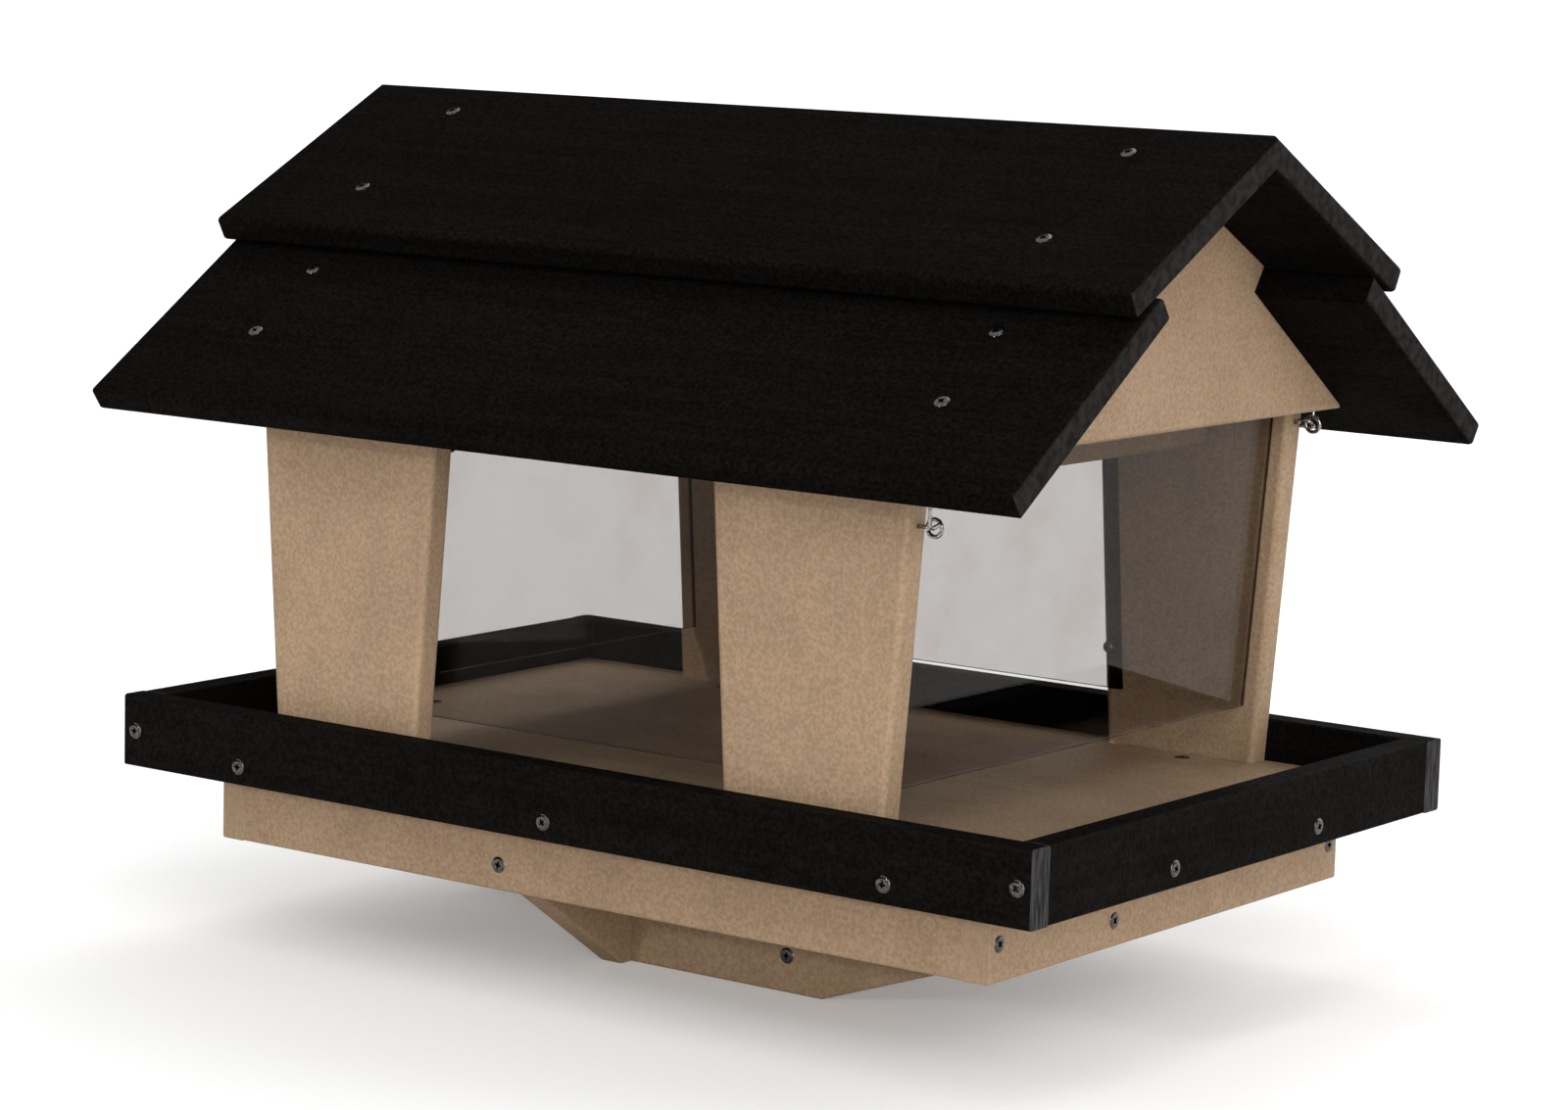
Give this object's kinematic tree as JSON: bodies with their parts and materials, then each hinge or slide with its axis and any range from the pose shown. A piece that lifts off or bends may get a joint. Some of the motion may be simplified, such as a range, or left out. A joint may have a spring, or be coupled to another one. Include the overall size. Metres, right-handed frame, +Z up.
{
  "type": "bird feeder",
  "caption": "Post-mounted hopper bird feeder with clear panes, a rimmed tray and a stepped roof hinged at the back and latched at the front.",
  "frame": {"origin": "on the vertical axis of the post socket, level with the lower edges of its four boards", "axes": "+X along the ridge, +Y to the back where the roof's hinge eyes are, +Z up"},
  "size_m": [0.56, 0.4292, 0.437],
  "materials": {
    "taupe_lumber": "fine-grained recycled plastic lumber, weathered-wood tan",
    "black_lumber": "brushed black recycled plastic lumber",
    "clear_sheet": "clear acrylic sheet",
    "screw_steel": "dull stainless",
    "bright_wire": "bright zinc-plated wire"
  },
  "bodies": {
    "base": {"tray_floor": "taupe_lumber", "rim_front": "black_lumber", "rim_back": "black_lumber", "rim_left": "black_lumber", "rim_right": "black_lumber", "skirt_front": "taupe_lumber", "skirt_back": "taupe_lumber", "skirt_left": "taupe_lumber", "skirt_right": "taupe_lumber", "bracket_front": "taupe_lumber", "bracket_back": "taupe_lumber", "bracket_left": "taupe_lumber", "bracket_right": "taupe_lumber", "post_front_left": "taupe_lumber", "post_front_right": "taupe_lumber", "post_back_left": "taupe_lumber", "post_back_right": "taupe_lumber", "rail_left": "taupe_lumber", "rail_right": "taupe_lumber", "pane_front": "clear_sheet", "pane_back": "clear_sheet", "pane_left": "clear_sheet", "pane_right": "clear_sheet", "rim_screws": "screw_steel", "skirt_screws": "screw_steel", "bracket_screws": "screw_steel", "post_foot_screws": "screw_steel", "floor_screws": "screw_steel", "rail_screws": "screw_steel", "pane_screws": "screw_steel", "hinge_eyes_post": "bright_wire", "latch_eye_post": "bright_wire"},
    "roof": {"gable_left": "taupe_lumber", "gable_right": "taupe_lumber", "roof_upper_front": "black_lumber", "roof_upper_back": "black_lumber", "roof_lower_front": "black_lumber", "roof_lower_back": "black_lumber", "roof_screws": "screw_steel", "hinge_eyes_gable": "bright_wire", "latch_eye_gable": "bright_wire"},
    "latch_hook": {"latch_hook": "bright_wire"}
  },
  "joints": [
    {"name": "roof_hinge", "type": "hinge", "parent": "base", "child": "roof", "pos_m": [0, 0.1675, 0.2829], "axis": [-1, 0, 0], "range_deg": [0, 65]},
    {"name": "latch", "type": "hinge", "parent": "roof", "child": "latch_hook", "pos_m": [0.207, -0.1715, 0.2789], "axis": [-1, 0, 0], "range_deg": [0, 70]}
  ]
}
